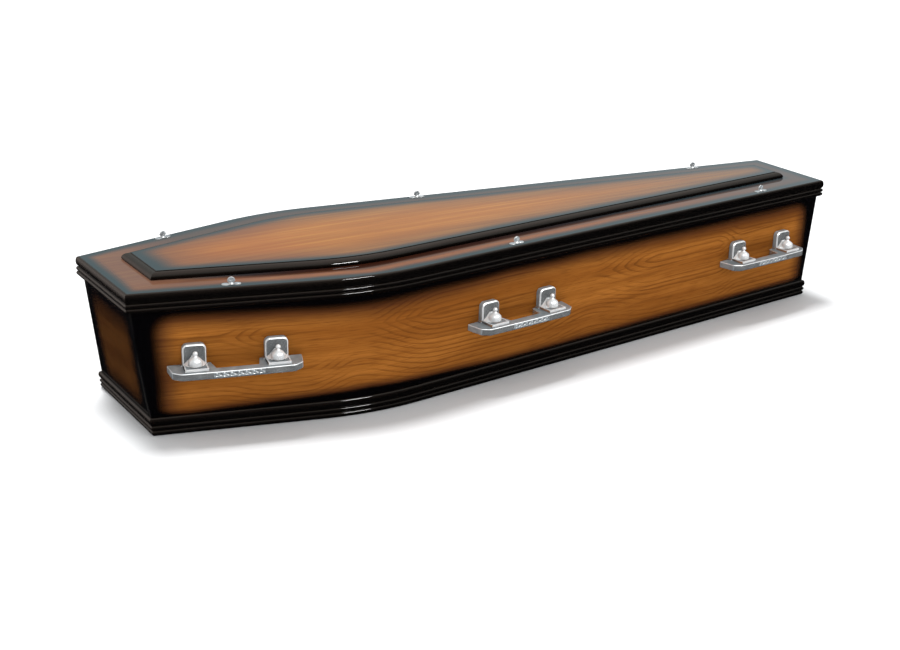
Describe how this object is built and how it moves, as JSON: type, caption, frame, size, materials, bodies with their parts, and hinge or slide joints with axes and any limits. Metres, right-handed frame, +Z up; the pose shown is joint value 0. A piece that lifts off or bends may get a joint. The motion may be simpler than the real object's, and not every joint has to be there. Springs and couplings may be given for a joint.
{
  "type": "wooden coffin",
  "caption": "Shouldered wooden coffin with bent sides, raked ends, reeded dark mouldings, a raised lid panel, cast bar handles and lid thumb screws. Hollow, lid on.",
  "frame": {"origin": "under the middle of the base, on the surface that it stands on", "axes": "+X from the head end to the foot end, +Y to the left side of someone lying in it, +Z up"},
  "size_m": [1.9904, 0.5982, 0.3398],
  "materials": {
    "stained_wood": "orange-brown grained wood under clear gloss lacquer, shaded to black at every edge",
    "dark_moulding": "black-brown stain under clear gloss lacquer",
    "chromed_metal": "bright plated casting"
  },
  "bodies": {
    "root": {"base_board": "stained_wood", "side_left": "stained_wood", "side_right": "stained_wood", "head_end": "stained_wood", "foot_end": "stained_wood", "lid_board": "stained_wood", "raised_panel": "stained_wood", "base_moulding_left": "dark_moulding", "base_moulding_right": "dark_moulding", "base_moulding_head": "dark_moulding", "base_moulding_foot": "dark_moulding", "lid_moulding_left": "dark_moulding", "lid_moulding_right": "dark_moulding", "lid_moulding_head": "dark_moulding", "lid_moulding_foot": "dark_moulding", "panel_moulding_left": "dark_moulding", "panel_moulding_right": "dark_moulding", "panel_moulding_head": "dark_moulding", "panel_moulding_foot": "dark_moulding", "handle_left_1_bar": "chromed_metal", "handle_left_1_lug_head": "chromed_metal", "handle_left_1_lug_foot": "chromed_metal", "thumb_screw_left_1": "chromed_metal", "handle_left_2_bar": "chromed_metal", "handle_left_2_lug_head": "chromed_metal", "handle_left_2_lug_foot": "chromed_metal", "thumb_screw_left_2": "chromed_metal", "handle_left_3_bar": "chromed_metal", "handle_left_3_lug_head": "chromed_metal", "handle_left_3_lug_foot": "chromed_metal", "thumb_screw_left_3": "chromed_metal", "handle_right_1_bar": "chromed_metal", "handle_right_1_lug_head": "chromed_metal", "handle_right_1_lug_foot": "chromed_metal", "thumb_screw_right_1": "chromed_metal", "handle_right_2_bar": "chromed_metal", "handle_right_2_lug_head": "chromed_metal", "handle_right_2_lug_foot": "chromed_metal", "thumb_screw_right_2": "chromed_metal", "handle_right_3_bar": "chromed_metal", "handle_right_3_lug_head": "chromed_metal", "handle_right_3_lug_foot": "chromed_metal", "thumb_screw_right_3": "chromed_metal"}
  },
  "joints": []
}
